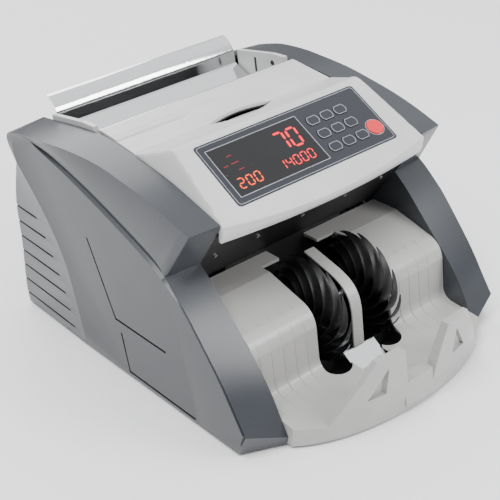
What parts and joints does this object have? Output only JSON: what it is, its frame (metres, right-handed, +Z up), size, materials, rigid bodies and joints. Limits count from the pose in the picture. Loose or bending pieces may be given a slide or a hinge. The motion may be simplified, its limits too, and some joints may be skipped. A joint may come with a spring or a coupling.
{
  "type": "banknote counting machine",
  "caption": "Desktop banknote counting machine with a rear hopper, a sloping display and keypad, and a front stacker with leafed wheels.",
  "frame": {"origin": "on the table under the middle of the machine's bounding box", "axes": "+Z up, -Y out of the stacker towards the user, +X to the user's right"},
  "size_m": [0.26, 0.3793, 0.202],
  "materials": {
    "grey_shell": "satin",
    "light_shell": "satin",
    "tray_shell": "satin",
    "black_plastic": "satin",
    "polished_steel": "polished",
    "zinc_steel": "satin",
    "shaft_steel": "ground",
    "bronze": "satin",
    "black_rubber": "matte",
    "roller_rubber": "matte",
    "bezel_film": "satin",
    "start_red": "gloss",
    "dark_window": "gloss",
    "display_module": "gloss",
    "circuit_board": "satin"
  },
  "bodies": {
    "chassis": {"side_cover_left": "grey_shell", "side_cover_right": "grey_shell", "base_tray": "zinc_steel", "rubber_feet": "black_rubber", "side_frame_left": "zinc_steel", "side_frame_right": "zinc_steel", "shaft_bushes": "bronze", "cross_bars": "zinc_steel", "main_belt": "black_rubber", "stacker_belt": "black_rubber", "pickup_belt": "black_rubber", "main_motor": "zinc_steel", "stacker_tray": "tray_shell", "centre_strip": "tray_shell", "deflector_plate": "polished_steel", "front_panel": "light_shell", "keypad_bezel": "bezel_film", "display_window": "dark_window", "display_module": "display_module", "recess_plate": "black_plastic", "sensor_studs": "polished_steel", "feed_cover_pin": "polished_steel", "hopper_wall_left": "light_shell", "hopper_wall_right": "light_shell", "hopper_back_plate": "polished_steel", "front_guide_plate": "polished_steel", "separator_block": "black_plastic", "rear_cover": "black_plastic", "power_inlet": "black_plastic", "fuse_drawer": "black_plastic", "display_port": "black_plastic", "transformer": "zinc_steel", "main_board": "circuit_board", "panel_screws": "zinc_steel"},
    "stacker_drive": {"stacker_shaft": "shaft_steel", "stacker_wheel_left": "black_rubber", "stacker_wheel_right": "black_rubber", "stacker_pulley": "black_plastic"},
    "feed_drive": {"feed_shaft": "shaft_steel", "feed_rollers": "roller_rubber", "feed_pulley": "black_plastic"},
    "pickup_drive": {"pickup_shaft": "shaft_steel", "pickup_rollers": "roller_rubber"},
    "transport_drive": {"transport_shaft": "shaft_steel", "transport_rollers": "roller_rubber", "transport_pulley": "black_plastic"},
    "motor_rotor": {"motor_pulley": "zinc_steel"},
    "feed_flap": {"feed_cover": "light_shell"},
    "rocker": {"rocker_switch": "black_plastic"},
    "thickness_knob": {"adjusting_knob": "black_plastic"},
    "start_key": {"start_button": "start_red"},
    "key_1_cap": {"key_1": "bezel_film"},
    "key_2_cap": {"key_2": "bezel_film"},
    "key_3_cap": {"key_3": "bezel_film"},
    "key_4_cap": {"key_4": "bezel_film"},
    "key_5_cap": {"key_5": "bezel_film"},
    "key_6_cap": {"key_6": "bezel_film"},
    "key_7_cap": {"key_7": "bezel_film"},
    "key_8_cap": {"key_8": "bezel_film"},
    "key_9_cap": {"key_9": "bezel_film"}
  },
  "joints": [
    {"name": "stacker_spin", "type": "hinge", "parent": "chassis", "child": "stacker_drive", "pos_m": [0, -0.0855, 0.055], "axis": [1, 0, 0], "continuous": true},
    {"name": "feed_spin", "type": "hinge", "parent": "chassis", "child": "feed_drive", "pos_m": [0, 0.04, 0.128], "axis": [1, 0, 0], "continuous": true},
    {"name": "pickup_spin", "type": "hinge", "parent": "chassis", "child": "pickup_drive", "pos_m": [0, 0.082, 0.142], "axis": [1, 0, 0], "continuous": true},
    {"name": "transport_spin", "type": "hinge", "parent": "chassis", "child": "transport_drive", "pos_m": [0, -0.016, 0.077], "axis": [1, 0, 0], "continuous": true},
    {"name": "motor_spin", "type": "hinge", "parent": "chassis", "child": "motor_rotor", "pos_m": [0, 0.125, 0.032], "axis": [1, 0, 0], "continuous": true},
    {"name": "feed_cover_hinge", "type": "hinge", "parent": "chassis", "child": "feed_flap", "pos_m": [0, 0.047, 0.1845], "axis": [-1, 0, 0], "range_deg": [0, 75]},
    {"name": "power_rocker", "type": "hinge", "parent": "chassis", "child": "rocker", "pos_m": [-0.015, 0.168, 0.046], "axis": [1, 0, 0], "range_deg": [0, 12]},
    {"name": "thickness_turn", "type": "hinge", "parent": "chassis", "child": "thickness_knob", "pos_m": [0, 0.024, 0.16], "axis": [0, 0, 1], "range_deg": [-180, 180]},
    {"name": "key_1_press", "type": "slide", "parent": "chassis", "child": "key_1_cap", "axis": [0, 0.5299, -0.848], "range_m": [0, 0.0006], "stiffness_N_per_m": 300, "springref_m": -0.0006},
    {"name": "key_2_press", "type": "slide", "parent": "chassis", "child": "key_2_cap", "axis": [0, 0.5299, -0.848], "range_m": [0, 0.0006], "stiffness_N_per_m": 300, "springref_m": -0.0006},
    {"name": "key_3_press", "type": "slide", "parent": "chassis", "child": "key_3_cap", "axis": [0, 0.5299, -0.848], "range_m": [0, 0.0006], "stiffness_N_per_m": 300, "springref_m": -0.0006},
    {"name": "key_4_press", "type": "slide", "parent": "chassis", "child": "key_4_cap", "axis": [0, 0.5299, -0.848], "range_m": [0, 0.0006], "stiffness_N_per_m": 300, "springref_m": -0.0006},
    {"name": "key_5_press", "type": "slide", "parent": "chassis", "child": "key_5_cap", "axis": [0, 0.5299, -0.848], "range_m": [0, 0.0006], "stiffness_N_per_m": 300, "springref_m": -0.0006},
    {"name": "key_6_press", "type": "slide", "parent": "chassis", "child": "key_6_cap", "axis": [0, 0.5299, -0.848], "range_m": [0, 0.0006], "stiffness_N_per_m": 300, "springref_m": -0.0006},
    {"name": "key_7_press", "type": "slide", "parent": "chassis", "child": "key_7_cap", "axis": [0, 0.5299, -0.848], "range_m": [0, 0.0006], "stiffness_N_per_m": 300, "springref_m": -0.0006},
    {"name": "key_8_press", "type": "slide", "parent": "chassis", "child": "key_8_cap", "axis": [0, 0.5299, -0.848], "range_m": [0, 0.0006], "stiffness_N_per_m": 300, "springref_m": -0.0006},
    {"name": "key_9_press", "type": "slide", "parent": "chassis", "child": "key_9_cap", "axis": [0, 0.5299, -0.848], "range_m": [0, 0.0006], "stiffness_N_per_m": 300, "springref_m": -0.0006},
    {"name": "start_press", "type": "slide", "parent": "chassis", "child": "start_key", "axis": [0, 0.5299, -0.848], "range_m": [0, 0.0008], "stiffness_N_per_m": 300, "springref_m": -0.0006}
  ],
  "couplings": [
    {"joint": "transport_spin", "follows": "stacker_spin", "ratio": 1.7143},
    {"joint": "feed_spin", "follows": "stacker_spin", "ratio": 0.91429},
    {"joint": "pickup_spin", "follows": "stacker_spin", "ratio": 1.0449},
    {"joint": "motor_spin", "follows": "stacker_spin", "ratio": 1.9592}
  ]
}
